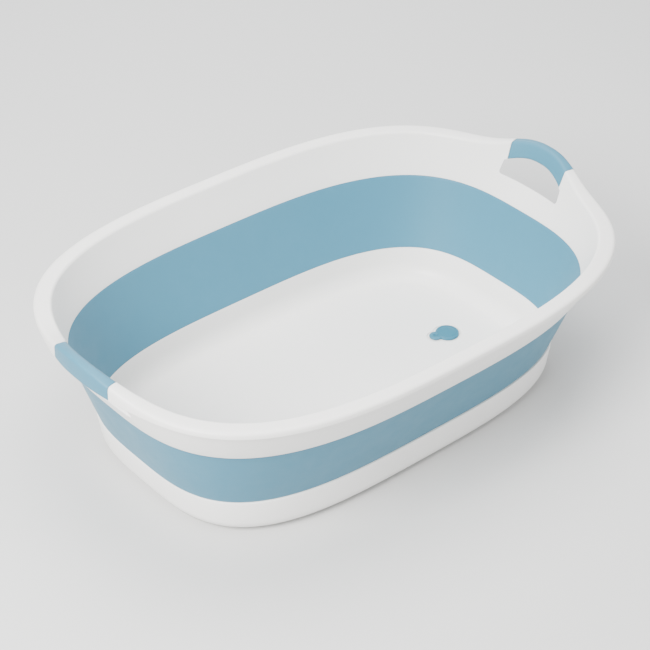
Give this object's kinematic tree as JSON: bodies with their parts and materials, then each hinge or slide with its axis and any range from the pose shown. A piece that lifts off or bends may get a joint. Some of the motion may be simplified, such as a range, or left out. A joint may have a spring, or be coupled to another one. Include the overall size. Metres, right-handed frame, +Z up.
{
  "type": "baby bathtub",
  "caption": "Folding baby bathtub: rigid white rim with carrying handles, soft blue collapsible wall, white base tray with a floor drain and a pull-out stopper.",
  "frame": {"origin": "on the floor under the middle of the tub", "axes": "+X along the tub towards the drain end, +Z up"},
  "size_m": [0.7394, 0.4926, 0.227],
  "materials": {
    "tray_plastic": "satin moulded polypropylene, very fine texture",
    "rim_plastic": "satin moulded polypropylene, very fine texture",
    "band_rubber": "matt soft-touch thermoplastic rubber",
    "grip_rubber": "matt soft-touch thermoplastic rubber",
    "stopper_rubber": "smooth semi-matt thermoplastic rubber",
    "foot_rubber": "matt thermoplastic rubber"
  },
  "bodies": {
    "base": {"base_tray": "tray_plastic", "band_lower": "band_rubber", "foot_pad_front_left": "foot_rubber", "foot_pad_back_left": "foot_rubber", "foot_pad_front_right": "foot_rubber", "foot_pad_back_right": "foot_rubber"},
    "middle_course": {"band_middle": "band_rubber"},
    "upper_course": {"band_upper": "band_rubber"},
    "rim": {"rim_frame": "rim_plastic", "grip_left": "grip_rubber", "grip_right": "grip_rubber"},
    "stopper": {"drain_stopper": "stopper_rubber"}
  },
  "joints": [
    {"name": "rim_slide", "type": "slide", "parent": "base", "child": "rim", "axis": [0, 0, 1], "range_m": [-0.13, 0]},
    {"name": "middle_course_slide", "type": "slide", "parent": "base", "child": "middle_course", "axis": [0, 0, 1], "range_m": [-0.0434, 0]},
    {"name": "upper_course_slide", "type": "slide", "parent": "base", "child": "upper_course", "axis": [0, 0, 1], "range_m": [-0.087, 0]},
    {"name": "stopper_lift", "type": "slide", "parent": "base", "child": "stopper", "axis": [0, 0, 1], "range_m": [0, 0.03]}
  ],
  "couplings": [
    {"joint": "middle_course_slide", "follows": "rim_slide", "ratio": 0.33333},
    {"joint": "upper_course_slide", "follows": "rim_slide", "ratio": 0.66667}
  ]
}
